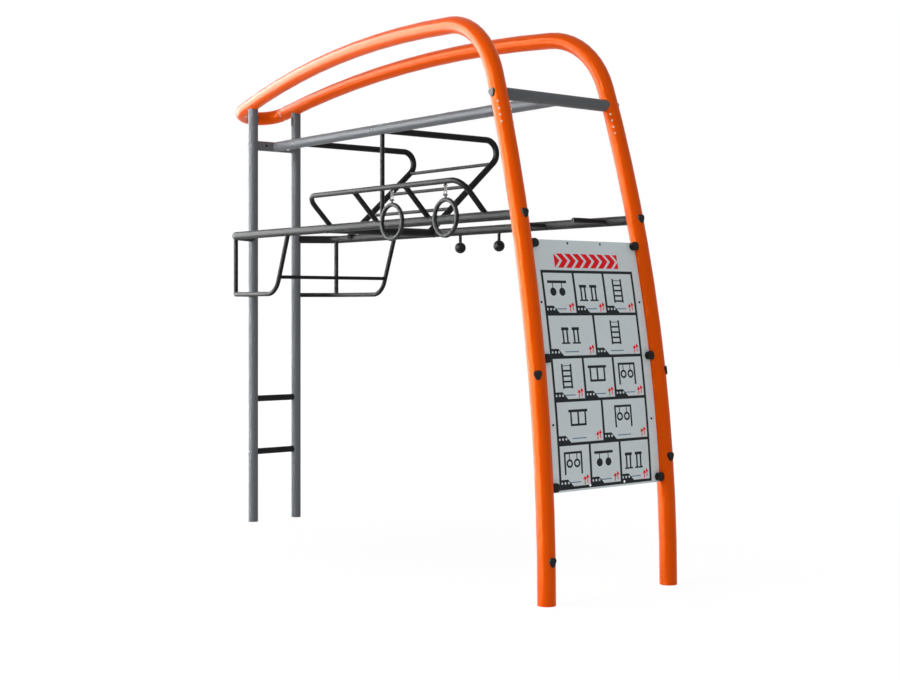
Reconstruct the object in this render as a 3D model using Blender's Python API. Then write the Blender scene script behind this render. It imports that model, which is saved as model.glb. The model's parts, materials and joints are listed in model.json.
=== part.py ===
"""Outdoor pull-up station: bent and coped steel tube, a pull-up bar with two hanging rings, and a sign.

Every length is in metres. The pieces are drawn in the station's own frame: the grey posts stand on the
Y axis, +X runs to the feet of the orange legs, and the station is symmetric about Y = 0 apart from the
pull-up bar on the -Y side and the overhead ladder on the +Y side.
"""

import math

import bmesh
import bpy
from mathutils import Matrix, Vector

# Fits
SEAT_GAP = 0.0003
WELD_DISTANCE = 0.000002
OVERRUN = 0.004
SQUARE_END = 0.005
BEND_STEP = math.radians(9.0)
CORNER_STEP = math.radians(30.0)

# Tube stock, outer diameters
LEG_TUBE = 0.108
FRAME_TUBE = 0.0761
RAIL_TUBE = 0.0603
LADDER_TUBE = 0.0483
BAR_TUBE = 0.035
LOW_TUBE = 0.0337
RUNG_TUBE = 0.0269
LEG_WALL = 0.004

# Orange legs and arches, each bent in an upright plane that turns inwards towards the posts
FOOT_DISTANCE = 3.7747
FOOT_HALF_SPREAD = 0.5017
PLAN_TURN = math.radians(4.597)
LEG_RADIUS = 9.691
LEG_TURN = math.radians(18.57)
CROWN_RADIUS = 0.5474
CROWN_TURN = math.radians(66.92)
TOP_RADIUS = 10.424
ARCH_OVERHANG = 0.112
BOW_LEAD = 0.045
LEG_STEPS = 11
CROWN_STEPS = 10
TOP_STEPS = 10
BOW_STEPS = 16

# Splices inside the orange tube, the leg's a little below the end of its long bend
LEG_BEND_HEIGHT = LEG_RADIUS * math.sin(LEG_TURN)
SPLICE_DROP = 0.2362
SPLICE_HEIGHT = LEG_BEND_HEIGHT - SPLICE_DROP
SPLICE_LENGTH = 0.22
SPLICE_WALL = 0.005
BOW_SPLICE_IN_ARCH = 0.06
BOW_SPLICE_IN_BOW = 0.04

# Grey upper frame and posts
BEAM_DROP = 0.1162
BEAM_HEIGHT = LEG_BEND_HEIGHT - BEAM_DROP
POST_RUNG_HEIGHTS = (0.969, 0.551)

# Black lower frame
RAIL_DROP = 0.732
RAIL_HEIGHT = BEAM_HEIGHT - RAIL_DROP
RAIL_HALF_SPREAD = 0.477
RAIL_CORNER_X = 0.1685
PLAN_BEND_RADIUS = 0.15
CROSSBAR_X = 1.473
LOW_FRAME_DROP = 0.448
LOW_FRAME_HEIGHT = RAIL_HEIGHT - LOW_FRAME_DROP
LOW_INCLINE_X = 0.797
LOW_INCLINE_TURN = math.radians(68.7)
LOW_INCLINE_RADIUS = 0.155
LOW_CROSSBAR_RISE = 0.123
LOW_CROSSBAR_HEIGHT = LOW_FRAME_HEIGHT + LOW_CROSSBAR_RISE

# Overhead ladder on the +Y side
LADDER_XS = (0.42, CROSSBAR_X)
LADDER_DROP = 0.008
LADDER_HEIGHT = BEAM_HEIGHT - LADDER_DROP
LADDER_REACH = 1.228
LADDER_BEND_RADIUS = 0.098
LADDER_FOOT_HEIGHT = RAIL_HEIGHT + RAIL_TUBE / 2
LADDER_FOOT_INSET = 0.0223
LADDER_FOOT_REACH = RAIL_HALF_SPREAD - LADDER_FOOT_INSET
LADDER_FOOT_RUN = 0.034
LADDER_RUNG_SHARES = (0.744, 0.4853, 0.2267)
LADDER_SLOPE = math.atan2(LADDER_HEIGHT - LADDER_FOOT_HEIGHT, LADDER_REACH - LADDER_FOOT_REACH)

# Pull-up bar on the -Y side
BAR_REACH = 0.665
BAR_RISE = 0.2145
BAR_HEIGHT = RAIL_HEIGHT + BAR_RISE
BAR_XS = (1.52, 3.2)
BAR_LEG_XS = (2.08, 2.64)
BAR_LEG_RISE = 0.02
BAR_BEND_RADIUS = 0.09

# Hand grips under and beside the +Y rail
BALL_XS = (1.773, 2.204)
BALL_DIAMETER = 0.08
BALL_DROP = 0.118
BALL_HEIGHT = RAIL_HEIGHT - BALL_DROP
BALL_STEM = 0.022
HANDLE_XS = (2.704, 3.275)
HANDLE_LENGTH = 0.27
HANDLE_CHAMFER = 0.003

# Gym rings and their shackles
RING_XS = (2.506, 3.053)
RING_DIAMETER = 0.245
RING_STOCK = 0.028
LUG_RADIUS = 0.008
LUG_THICKNESS = 0.006
BAR_LUG_DROP = 0.010
RING_LUG_RISE = 0.015
PIN_CLEARANCE = 0.0005
SHACKLE_STOCK = 0.007
SHACKLE_GAP = 0.012
SHACKLE_REACH = 0.0245
EYE_RADIUS = 0.0065
EYE_WIDTH = 0.008
PIN_HEAD_RADIUS = 0.005
PIN_HEAD_LENGTH = 0.003

# Sign between the legs
SIGN_TOP = 2.092
SIGN_BOTTOM = 0.628
SIGN_THICKNESS = 0.006
SIGN_EDGE_GAP = 0.001
SIGN_ROWS = 10
CLAMP_DIAMETER = 0.05
CLAMP_DEPTH = 0.042
CLAMP_BITE = 0.008
CLAMP_FORWARD = 0.005
CLAMP_CHAMFER = 0.002
CLAMP_BOLT = 0.012
CLAMP_HEIGHTS = {"top": SIGN_TOP - CLAMP_DIAMETER / 2, "middle": 1.396, "bottom": 0.66}

# Bolt covers on the legs: height up the leg, and turn of the face outwards from +X
COVER_WIDTH = 0.067
COVER_HEIGHT = 0.080
COVER_CORNER = 0.016
COVER_STAND = 0.008
COVER_BEVEL = 0.003
COVER_DEPTH = 0.016
COVER_SAG = 0.003
UPPER_COVERS = ((BEAM_HEIGHT - COVER_SAG, 90.0), (RAIL_HEIGHT - 2 * COVER_SAG, 0.0), (1.3, 38.0))
COVERS = {
    "bar_side": (*UPPER_COVERS, (0.247, 0.0)),
    "ladder_side": (*UPPER_COVERS, (0.777, 0.0)),
}

# Facets round each tube, all multiples of two
LEG_SIDES = 24
FRAME_SIDES = 18
RAIL_SIDES = 16
THIN_SIDES = 12
FINE_SIDES = 10
BALL_SIDES = 20
BOW_SIDES = 8
RING_STEPS = 30

SIDES = {"bar_side": -1, "ladder_side": 1}
UP = Vector((0, 0, 1))
ALONG = Vector((1, 0, 0))
ACROSS = Vector((0, 1, 0))

MATERIALS = {
    "orange_paint": ((0.74, 0.09, 0.005), 0.28, 0.0),
    "grey_paint": ((0.12, 0.13, 0.14), 0.4, 0.0),
    "black_paint": ((0.02, 0.021, 0.022), 0.4, 0.0),
    "stainless": ((0.62, 0.62, 0.62), 0.25, 1.0),
    "sign_board": ((0.38, 0.44, 0.45), 0.45, 0.0),
    "ring_rubber": ((0.03, 0.03, 0.03), 0.5, 0.0),
}

# What each tube was swept from, so that its neighbours can be coped to it
swept = {}
cutters = {}


def clear_scene():
    for obj in list(bpy.data.objects):
        bpy.data.objects.remove(obj)


def make_material(name):
    color, roughness, metallic = MATERIALS[name]
    material = bpy.data.materials.new(name)
    material.use_nodes = True
    shader = material.node_tree.nodes["Principled BSDF"]
    shader.inputs["Base Color"].default_value = (*color, 1)
    shader.inputs["Roughness"].default_value = roughness
    shader.inputs["Metallic"].default_value = metallic
    return material


def link(name, mesh, material=None, place=(0, 0, 0)):
    """A named object placed in the station's frame; without a material it is a hidden cutter."""
    obj = bpy.data.objects.new(name, mesh)
    bpy.context.scene.collection.objects.link(obj)
    obj.parent = station
    obj.location = place
    if material:
        mesh.materials.clear()
        mesh.materials.append(materials[material])
    else:
        obj.hide_render = True
        obj.display_type = "WIRE"
    mesh.shade_smooth()
    mesh.set_sharp_from_angle(angle=math.radians(40))
    return obj


def boolean(obj, other, operation="DIFFERENCE"):
    modifier = obj.modifiers.new(other.name, "BOOLEAN")
    modifier.operation = operation
    modifier.object = other


def sweep_mesh(name, path, diameter, sides, closed=False):
    """A round tube's closed mesh along a path of points."""
    curve = bpy.data.curves.new(name, "CURVE")
    curve.dimensions = "3D"
    curve.bevel_depth = diameter / 2
    curve.bevel_resolution = (sides - 4) // 2
    curve.use_fill_caps = not closed
    spline = curve.splines.new("POLY")
    spline.points.add(len(path) - 1)
    for point, place in zip(spline.points, path):
        point.co = (*place, 1)
    spline.use_cyclic_u = closed
    guide = bpy.data.objects.new(name, curve)
    bpy.context.scene.collection.objects.link(guide)
    graph = bpy.context.evaluated_depsgraph_get()
    mesh = bpy.data.meshes.new_from_object(guide.evaluated_get(graph))
    bpy.data.objects.remove(guide)
    mesh.name = name
    tidy(mesh)
    return mesh


def tidy(mesh):
    """Welds what meets and turns every face outwards."""
    shape = bmesh.new()
    shape.from_mesh(mesh)
    bmesh.ops.remove_doubles(shape, verts=shape.verts, dist=WELD_DISTANCE)
    bmesh.ops.recalc_face_normals(shape, faces=shape.faces)
    shape.to_mesh(mesh)
    shape.free()


def tube(name, path, diameter, sides, material):
    swept[name] = (path, diameter, sides)
    return link(name, sweep_mesh(name, path, diameter, sides), material)


def cope(obj, *neighbours):
    """Cuts the piece to sit against its neighbours' tubes, a seat gap away."""
    for name in neighbours:
        if name not in cutters:
            path, diameter, sides = swept[name]
            mesh = sweep_mesh(name + "_cope", path, diameter + 2 * SEAT_GAP, sides)
            cutters[name] = link(name + "_cope", mesh)
        boolean(obj, cutters[name])


def bent(corners, radius, bend_step=BEND_STEP):
    """Points along straight runs, with an arc of one bend radius at each inner corner."""
    path = [corners[0]]
    for before, corner, after in zip(corners, corners[1:], corners[2:]):
        back = (before - corner).normalized()
        ahead = (after - corner).normalized()
        turn = math.pi - back.angle(ahead)
        centre = corner + (back + ahead).normalized() * (radius / math.cos(turn / 2))
        spoke = corner + back * (radius * math.tan(turn / 2)) - centre
        axis = ahead.cross(back).normalized()
        steps = math.ceil(turn / bend_step)
        for step in range(steps + 1):
            path.append(centre + Matrix.Rotation(turn * step / steps, 3, axis) @ spoke)
    path.append(corners[-1])
    return path


def arc_centres():
    """Centres of the arch's three arcs in its own plane: distance from the foot, and height."""
    centres = []
    start = Vector((0, 0))
    heading = 0
    for radius, turn in (
        (LEG_RADIUS, LEG_TURN),
        (CROWN_RADIUS, CROWN_TURN),
        (TOP_RADIUS, 0),
    ):
        centre = start + Vector((math.cos(heading), -math.sin(heading))) * radius
        heading += turn
        start = centre + Vector((-math.cos(heading), math.sin(heading))) * radius
        centres.append(centre)
    return centres


LEG_CENTRE, CROWN_CENTRE, TOP_CENTRE = arc_centres()


def arch_point(heading, side):
    """A point on the arch's centre line, where the line has turned by heading from upright."""
    if heading <= LEG_TURN:
        centre, radius = LEG_CENTRE, LEG_RADIUS
    elif heading <= LEG_TURN + CROWN_TURN:
        centre, radius = CROWN_CENTRE, CROWN_RADIUS
    else:
        centre, radius = TOP_CENTRE, TOP_RADIUS
    distance = centre.x - radius * math.cos(heading)
    height = centre.y + radius * math.sin(heading)
    x = FOOT_DISTANCE - distance * math.cos(PLAN_TURN)
    y = FOOT_HALF_SPREAD - distance * math.sin(PLAN_TURN)
    return Vector((x, side * y, height))


def arch_direction(heading, side):
    level = math.sin(heading)
    return Vector(
        (
            -level * math.cos(PLAN_TURN),
            -side * level * math.sin(PLAN_TURN),
            math.cos(heading),
        )
    )


def leg_heading(height):
    """Heading where the rising line reaches a height, on the long bend or on the crown above it."""
    if height <= LEG_BEND_HEIGHT:
        return math.asin(height / LEG_RADIUS)
    return math.asin((height - CROWN_CENTRE.y) / CROWN_RADIUS)


def leg_point(height, side):
    return arch_point(leg_heading(height), side)


def top_heading(x):
    """Heading of the top arc's centre line over the place x."""
    distance = (FOOT_DISTANCE - x) / math.cos(PLAN_TURN)
    return math.acos((TOP_CENTRE.x - distance) / TOP_RADIUS)


def headings(start, end, steps, radius):
    """Even headings along one arc, with a short last stretch at each end that squares the end face."""
    square = SQUARE_END / radius
    spread = [start + (end - start) * step / steps for step in range(1, steps)]
    return [start, start + square, *spread, end - square, end]


POST_HEADING = top_heading(0)
POST_HALF_SPREAD = arch_point(POST_HEADING, 1).y
ARCH_END_HEADING = top_heading(-ARCH_OVERHANG)
LEG_END_HEADING = leg_heading(SPLICE_HEIGHT - SEAT_GAP / 2)
ARCH_START_HEADING = leg_heading(SPLICE_HEIGHT + SEAT_GAP / 2)


def leg_path(side):
    path = [arch_point(a, side) for a in headings(0, LEG_END_HEADING, LEG_STEPS, LEG_RADIUS)]
    path[0] = Vector((path[1].x, path[1].y, 0))
    return path


def arch_path(side):
    crown_start = LEG_TURN
    crown_end = LEG_TURN + CROWN_TURN
    start = headings(ARCH_START_HEADING, crown_start, 2, LEG_RADIUS)
    crown = [crown_start + CROWN_TURN * step / CROWN_STEPS for step in range(CROWN_STEPS)]
    top = headings(crown_end, ARCH_END_HEADING, TOP_STEPS, TOP_RADIUS)
    turns = [*start[:-2], *crown, crown_end, *top[2:]]
    return [arch_point(turn, side) for turn in turns]


def bow_frame():
    """The bow's half: its start, the arch's direction there, and the middle line that both arches lean to."""
    start = arch_point(ARCH_END_HEADING, SIDES["bar_side"])
    along = arch_direction(ARCH_END_HEADING, SIDES["bar_side"])
    middle = Vector((along.x, 0, along.z)).normalized()
    lean = along.angle(middle)
    return start, along, middle, lean


def bow_path():
    start, along, middle, lean = bow_frame()
    first = start + along * BOW_LEAD
    radius = abs(first.y) / math.cos(lean)
    centre = Vector((first.x, 0, first.z)) - middle * (radius * math.sin(lean))
    path = [start + along * SEAT_GAP]
    for step in range(BOW_STEPS + 1):
        turn = lean + (math.pi - 2 * lean) * step / BOW_STEPS
        path.append(centre + (middle * math.sin(turn) - ACROSS * math.cos(turn)) * radius)
    path.append(Vector((path[0].x, -path[0].y, path[0].z)))
    return path


def bow_back():
    """X of the bow's outermost point."""
    return min(point.x for point in bow_path()) - LEG_TUBE / 2


def box_centre():
    """Middle of the station's outline on the ground, in the station's own frame."""
    front = FOOT_DISTANCE + LEG_TUBE / 2
    bar_side = -(BAR_REACH + BAR_TUBE / 2)
    back = LADDER_BEND_RADIUS * (math.tan((math.pi - LADDER_SLOPE) / 2) - 1)
    ladder_side = LADDER_REACH - back + LADDER_TUBE / 2
    return (front + bow_back()) / 2, (ladder_side + bar_side) / 2


def make_legs():
    for name, side in SIDES.items():
        tube("leg_tube_" + name, leg_path(side), LEG_TUBE, LEG_SIDES, "orange_paint")
        tube("arch_tube_" + name, arch_path(side), LEG_TUBE, LEG_SIDES, "orange_paint")
    tube("end_bow", bow_path(), LEG_TUBE, LEG_SIDES, "orange_paint")


def make_splice(name, path, *hosts):
    """A hollow inner sleeve, and the bores in the ends of the tubes that it joins."""
    bore = LEG_TUBE - 2 * LEG_WALL
    outer = bore - 2 * SEAT_GAP
    sleeve = link(name, sweep_mesh(name, path, outer, LEG_SIDES), "stainless")
    ahead = (path[-1] - path[-2]).normalized()
    back = (path[0] - path[1]).normalized()
    inner_path = [path[0] + back * OVERRUN, *path[1:-1], path[-1] + ahead * OVERRUN]
    inner = link(name + "_inner", sweep_mesh(name, inner_path, outer - 2 * SPLICE_WALL, LEG_SIDES))
    boolean(sleeve, inner)
    bore_path = [path[0] + back * SEAT_GAP, *path[1:-1], path[-1] + ahead * SEAT_GAP]
    pocket = link(name + "_pocket", sweep_mesh(name, bore_path, bore, LEG_SIDES))
    for host in hosts:
        boolean(bpy.data.objects[host], pocket)


def make_splices():
    start, along, middle, lean = bow_frame()
    for name, side in SIDES.items():
        low = leg_heading(SPLICE_HEIGHT - SPLICE_LENGTH / 2)
        high = leg_heading(SPLICE_HEIGHT + SPLICE_LENGTH / 2)
        path = [arch_point(low + (high - low) * share, side) for share in (0, 1 / 2, 1)]
        make_splice("leg_splice_" + name, path, "leg_tube_" + name, "arch_tube_" + name)
        end = Vector((start.x, -side * start.y, start.z))
        ahead = Vector((along.x, -side * along.y, along.z))
        path = [end - ahead * BOW_SPLICE_IN_ARCH, end, end + ahead * BOW_SPLICE_IN_BOW]
        make_splice("bow_splice_" + name, path, "arch_tube_" + name, "end_bow")


def make_posts():
    height = arch_point(POST_HEADING, 1).z
    for name, side in SIDES.items():
        foot = Vector((0, side * POST_HALF_SPREAD, 0))
        path = [foot, foot + UP * height]
        post = tube("post_" + name, path, FRAME_TUBE, FRAME_SIDES, "grey_paint")
        cope(post, "arch_tube_" + name)
    for name, height in zip(("upper", "lower"), POST_RUNG_HEIGHTS):
        ends = [Vector((0, side * POST_HALF_SPREAD, height)) for side in SIDES.values()]
        rung = tube("post_rung_" + name, ends, LADDER_TUBE, THIN_SIDES, "black_paint")
        cope(rung, "post_bar_side", "post_ladder_side")


def make_upper_frame():
    ends = [Vector((0, side * POST_HALF_SPREAD, BEAM_HEIGHT)) for side in SIDES.values()]
    crossbar = tube("post_crossbar", ends, FRAME_TUBE, FRAME_SIDES, "grey_paint")
    cope(crossbar, "post_bar_side", "post_ladder_side")
    ends = [leg_point(BEAM_HEIGHT, side) for side in SIDES.values()]
    crossbar = tube("leg_crossbar", ends, FRAME_TUBE, FRAME_SIDES, "grey_paint")
    cope(crossbar, "arch_tube_bar_side", "arch_tube_ladder_side")
    ends = [UP * BEAM_HEIGHT, UP * BEAM_HEIGHT + ALONG * ends[0].x]
    beam = tube("top_beam", ends, FRAME_TUBE, FRAME_SIDES, "grey_paint")
    cope(beam, "post_crossbar", "leg_crossbar")


def rail_corner(height, side):
    return Vector((RAIL_CORNER_X, side * RAIL_HALF_SPREAD, height))


def make_rails():
    for name, side in SIDES.items():
        corners = [
            Vector((0, side * POST_HALF_SPREAD, RAIL_HEIGHT)),
            rail_corner(RAIL_HEIGHT, side),
            Vector((leg_point(RAIL_HEIGHT, side).x, side * RAIL_HALF_SPREAD, RAIL_HEIGHT)),
        ]
        path = bent(corners, PLAN_BEND_RADIUS)
        rail = tube("rail_" + name, path, RAIL_TUBE, RAIL_SIDES, "black_paint")
        cope(rail, "post_" + name, "leg_tube_" + name)
    ends = [Vector((CROSSBAR_X, side * RAIL_HALF_SPREAD, RAIL_HEIGHT)) for side in SIDES.values()]
    crossbar = tube("rail_crossbar", ends, RAIL_TUBE, RAIL_SIDES, "black_paint")
    cope(crossbar, "rail_bar_side", "rail_ladder_side")
    ends = [Vector((CROSSBAR_X, 0, height)) for height in (RAIL_HEIGHT, BEAM_HEIGHT)]
    strut = tube("centre_strut", ends, LOW_TUBE, THIN_SIDES, "black_paint")
    cope(strut, "rail_crossbar", "top_beam")


def make_low_frame():
    rise = RAIL_HEIGHT - LOW_FRAME_HEIGHT
    run = rise / math.tan(LOW_INCLINE_TURN)
    for name, side in SIDES.items():
        y = side * RAIL_HALF_SPREAD
        plan = bent(
            [
                Vector((0, side * POST_HALF_SPREAD, LOW_FRAME_HEIGHT)),
                rail_corner(LOW_FRAME_HEIGHT, side),
                Vector((LOW_INCLINE_X, y, LOW_FRAME_HEIGHT)),
            ],
            PLAN_BEND_RADIUS,
        )
        incline = bent(
            [
                plan[-2],
                Vector((LOW_INCLINE_X, y, LOW_FRAME_HEIGHT)),
                Vector((LOW_INCLINE_X + run, y, RAIL_HEIGHT)),
            ],
            LOW_INCLINE_RADIUS,
        )
        path = plan[:-1] + incline[1:]
        low = tube("low_tube_" + name, path, LOW_TUBE, THIN_SIDES, "black_paint")
        cope(low, "post_" + name, "rail_" + name)
        middle = plan[len(plan) // 2]
        ends = [middle, Vector((middle.x, middle.y, RAIL_HEIGHT))]
        strut = tube("low_strut_" + name, ends, LOW_TUBE, THIN_SIDES, "black_paint")
        cope(strut, "low_tube_" + name, "rail_" + name)
    x = LOW_INCLINE_X + run * (LOW_CROSSBAR_HEIGHT - LOW_FRAME_HEIGHT) / rise
    ends = [Vector((x, side * RAIL_HALF_SPREAD, LOW_CROSSBAR_HEIGHT)) for side in SIDES.values()]
    crossbar = tube("low_crossbar", ends, RUNG_TUBE, FINE_SIDES, "black_paint")
    cope(crossbar, "low_tube_bar_side", "low_tube_ladder_side")


def ladder_height(reach):
    """Height of the ladder rail's sloping run at a reach from the middle plane."""
    return LADDER_HEIGHT - (LADDER_REACH - reach) * math.tan(LADDER_SLOPE)


def make_ladder():
    slope = Vector((0, math.cos(LADDER_SLOPE), math.sin(LADDER_SLOPE)))
    names = ("ladder_rail_rear", "ladder_rail_front")
    for name, x in zip(names, LADDER_XS):
        corners = [
            Vector((x, 0, LADDER_HEIGHT)),
            Vector((x, LADDER_REACH, LADDER_HEIGHT)),
            Vector((x, LADDER_FOOT_REACH, LADDER_FOOT_HEIGHT)) - slope * LADDER_FOOT_RUN,
        ]
        path = bent(corners, LADDER_BEND_RADIUS)
        rail = tube(name, path, LADDER_TUBE, THIN_SIDES, "black_paint")
        cope(rail, "top_beam", "rail_ladder_side")
        if x == CROSSBAR_X:
            cope(rail, "rail_crossbar")
    for number, share in enumerate(LADDER_RUNG_SHARES, 1):
        reach = LADDER_FOOT_REACH + (LADDER_REACH - LADDER_FOOT_REACH) * share
        ends = [Vector((x, reach, ladder_height(reach))) for x in LADDER_XS]
        rung = tube(f"ladder_rung_{number}", ends, RUNG_TUBE, FINE_SIDES, "black_paint")
        cope(rung, *names)


def make_lug(name, hole, across, foot_depth, towards=UP):
    """An eye plate about its hole: a round head, and a neck that runs back into the tube that carries it."""
    side = towards.cross(across)
    outline = [side * LUG_RADIUS - towards * foot_depth]
    for step in range(THIN_SIDES // 2 + 1):
        turn = math.pi * step / (THIN_SIDES // 2)
        outline.append((side * math.cos(turn) + towards * math.sin(turn)) * LUG_RADIUS)
    outline.append(-side * LUG_RADIUS - towards * foot_depth)
    shape = bmesh.new()
    face = shape.faces.new([shape.verts.new(p - across * (LUG_THICKNESS / 2)) for p in outline])
    wall = bmesh.ops.extrude_face_region(shape, geom=[face])
    moved = [v for v in wall["geom"] if isinstance(v, bmesh.types.BMVert)]
    bmesh.ops.translate(shape, verts=moved, vec=across * LUG_THICKNESS)
    bmesh.ops.recalc_face_normals(shape, faces=shape.faces)
    mesh = bpy.data.meshes.new(name)
    shape.to_mesh(mesh)
    shape.free()
    lug = link(name, mesh, place=hole)
    reach = across * (LUG_THICKNESS / 2 + OVERRUN)
    radius = SHACKLE_STOCK / 2 + PIN_CLEARANCE
    boolean(lug, round_bar(name + "_hole", -reach, reach, radius, hole))
    return lug


def make_pull_up_bar():
    landing = Vector((0, -RAIL_HALF_SPREAD, RAIL_HEIGHT + BAR_LEG_RISE))
    bar = Vector((0, -BAR_REACH, BAR_HEIGHT))
    down = (landing - bar).normalized()
    foot = landing + down * (BAR_LEG_RISE / 2)
    corners = [foot + ALONG * BAR_XS[0], bar + ALONG * BAR_XS[0]]
    corners += [bar + ALONG * BAR_XS[1], foot + ALONG * BAR_XS[1]]
    path = bent(corners, BAR_BEND_RADIUS)
    pull_up_bar = tube("pull_up_bar", path, BAR_TUBE, THIN_SIDES, "black_paint")
    cope(pull_up_bar, "rail_bar_side")
    for number, x in enumerate(BAR_LEG_XS, 1):
        ends = [bar + ALONG * x, foot + ALONG * x]
        leg = tube(f"bar_leg_{number}", ends, BAR_TUBE, THIN_SIDES, "black_paint")
        cope(leg, "pull_up_bar", "rail_bar_side")
    return pull_up_bar


def round_bar(name, start, end, radius, place=(0, 0, 0)):
    return link(name, sweep_mesh(name, [start, end], 2 * radius, THIN_SIDES), place=place)


def make_shackle(name, pivot, pin, towards, across):
    """A bow, and the pin through its eyes; towards points from the pin to the bow, and it swings on pivot."""
    half = (SHACKLE_GAP + SHACKLE_STOCK) / 2
    pin = pin - pivot
    start = pin + towards * (EYE_RADIUS / 4)
    centre = pin + towards * (SHACKLE_REACH + SHACKLE_STOCK / 2 - SHACKLE_GAP / 2)
    path = [start - across * half]
    for step in range(BOW_SIDES + 1):
        turn = math.pi * step / BOW_SIDES
        path.append(centre + (towards * math.sin(turn) - across * math.cos(turn)) * half)
    path.append(start + across * half)
    mesh = sweep_mesh(name, path, SHACKLE_STOCK, FINE_SIDES)
    shackle = link(name, mesh, "stainless", pivot)
    eye = half + EYE_WIDTH / 2
    for end in (-1, 1):
        faces = [pin + across * (end * (half - EYE_WIDTH / 2)), pin + across * (end * eye)]
        boolean(shackle, round_bar(f"{name}_eye_{end}", *faces, EYE_RADIUS, pivot), "UNION")
    ends = [pin - across * half, pin + across * half]
    boolean(shackle, round_bar(name + "_pin", *ends, SHACKLE_STOCK / 2, pivot), "UNION")
    ends = [pin + across * (half + EYE_WIDTH / 4), pin + across * (eye + PIN_HEAD_LENGTH)]
    boolean(shackle, round_bar(name + "_head", *ends, PIN_HEAD_RADIUS, pivot), "UNION")
    return shackle


def ring_heights():
    """Heights from the top down: bar lug's hole, lower shackle's hooked bow, ring lug's hole."""
    upper_pin = BAR_HEIGHT - BAR_TUBE / 2 - BAR_LUG_DROP
    contact = upper_pin - SHACKLE_STOCK / 2 - SHACKLE_REACH
    link_height = contact + SEAT_GAP + SHACKLE_STOCK / 2
    lower_pin = link_height - SHACKLE_STOCK - SHACKLE_REACH
    return upper_pin, link_height, lower_pin


def make_rings(pull_up_bar):
    upper_pin, link_height, lower_pin = ring_heights()
    radius = (RING_DIAMETER - RING_STOCK) / 2
    middle = -UP * (RING_LUG_RISE + RING_DIAMETER / 2)
    path = []
    for step in range(RING_STEPS):
        turn = math.tau * step / RING_STEPS
        path.append(middle + (UP * math.cos(turn) + ALONG * math.sin(turn)) * radius)
    for name, x in zip(("rear", "front"), RING_XS):
        hang = Vector((x, -BAR_REACH, 0))
        pin = hang + UP * upper_pin
        depth = BAR_LUG_DROP + BAR_TUBE / 4
        boolean(pull_up_bar, make_lug("bar_lug_" + name, pin, ALONG, depth, -UP), "UNION")
        make_shackle("upper_shackle_" + name, pin, pin, -UP, ALONG)
        pin = hang + UP * lower_pin
        make_shackle("lower_shackle_" + name, hang + UP * link_height, pin, UP, ACROSS)
        mesh = sweep_mesh("ring_" + name, path, RING_STOCK, FINE_SIDES, closed=True)
        ring = link("ring_" + name, mesh, "ring_rubber", pin)
        depth = RING_LUG_RISE + RING_STOCK / 4
        boolean(ring, make_lug("ring_lug_" + name, pin, ACROSS, depth), "UNION")


def turned(name, profile, sides, material=None):
    """A solid turned about its own Z axis from a profile that runs down its outer side."""
    mesh = bpy.data.meshes.new(name)
    points = [(radius, 0, height) for radius, height in profile]
    mesh.from_pydata(points, [(i, i + 1) for i in range(len(points) - 1)], [])
    obj = link(name, mesh, material)
    screw = obj.modifiers.new("turn", "SCREW")
    screw.steps = sides
    screw.render_steps = sides
    screw.use_merge_vertices = True
    screw.merge_threshold = WELD_DISTANCE
    screw.use_smooth_shade = True
    return obj


def make_ball_grips():
    ball = BALL_DIAMETER / 2
    stem = BALL_STEM / 2
    start = math.asin(stem / ball)
    rows = BALL_SIDES // 2
    for number, x in enumerate(BALL_XS, 1):
        profile = [(0, RAIL_HEIGHT - BALL_HEIGHT), (stem, RAIL_HEIGHT - BALL_HEIGHT)]
        for row in range(rows):
            turn = start + (math.pi - start) * row / rows
            profile.append((ball * math.sin(turn), ball * math.cos(turn)))
        profile.append((0, -ball))
        grip = turned(f"ball_grip_{number}", profile, BALL_SIDES, "black_paint")
        grip.location = (x, RAIL_HALF_SPREAD, BALL_HEIGHT)
        cope(grip, "rail_ladder_side")


def make_handles():
    radius = LOW_TUBE / 2
    reach = RAIL_TUBE / 2 + HANDLE_LENGTH
    for number, x in enumerate(HANDLE_XS, 1):
        profile = [
            (0, reach),
            (radius - HANDLE_CHAMFER, reach),
            (radius, reach - HANDLE_CHAMFER),
            (radius, 0),
            (0, 0),
        ]
        handle = turned(f"stub_handle_{number}", profile, THIN_SIDES, "black_paint")
        handle.location = (x, RAIL_HALF_SPREAD, RAIL_HEIGHT)
        handle.rotation_euler = (math.pi / 2, 0, 0)
        cope(handle, "rail_ladder_side")


def leg_frame(height, side):
    """The leg's axis point, its direction, and the square direction that faces the front, at a height."""
    heading = leg_heading(height)
    centre = arch_point(heading, side)
    along = arch_direction(heading, side)
    front = Vector((math.cos(heading), 0, math.sin(heading)))
    return centre, along, front


def sign_mesh(name, heights, thickness, edge_gap):
    """The sign's curved plate: a ladder of cross-sections up the legs, closed all round."""
    shape = bmesh.new()
    sections = []
    for height in heights:
        centre, along, front = leg_frame(height, 1)
        half = centre.y - LEG_TUBE / 2 - edge_gap
        middle = Vector((centre.x, 0, centre.z))
        section = []
        for face, edge in ((-1, -1), (1, -1), (1, 1), (-1, 1)):
            place = middle + front * (face * thickness / 2) + ACROSS * (edge * half)
            section.append(shape.verts.new(place))
        sections.append(section)
    for below, above in zip(sections, sections[1:]):
        for corner in range(4):
            after = (corner + 1) % 4
            shape.faces.new([below[corner], below[after], above[after], above[corner]])
    shape.faces.new(sections[0])
    shape.faces.new(sections[-1])
    bmesh.ops.recalc_face_normals(shape, faces=shape.faces)
    mesh = bpy.data.meshes.new(name)
    shape.to_mesh(mesh)
    shape.free()
    return mesh


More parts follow.
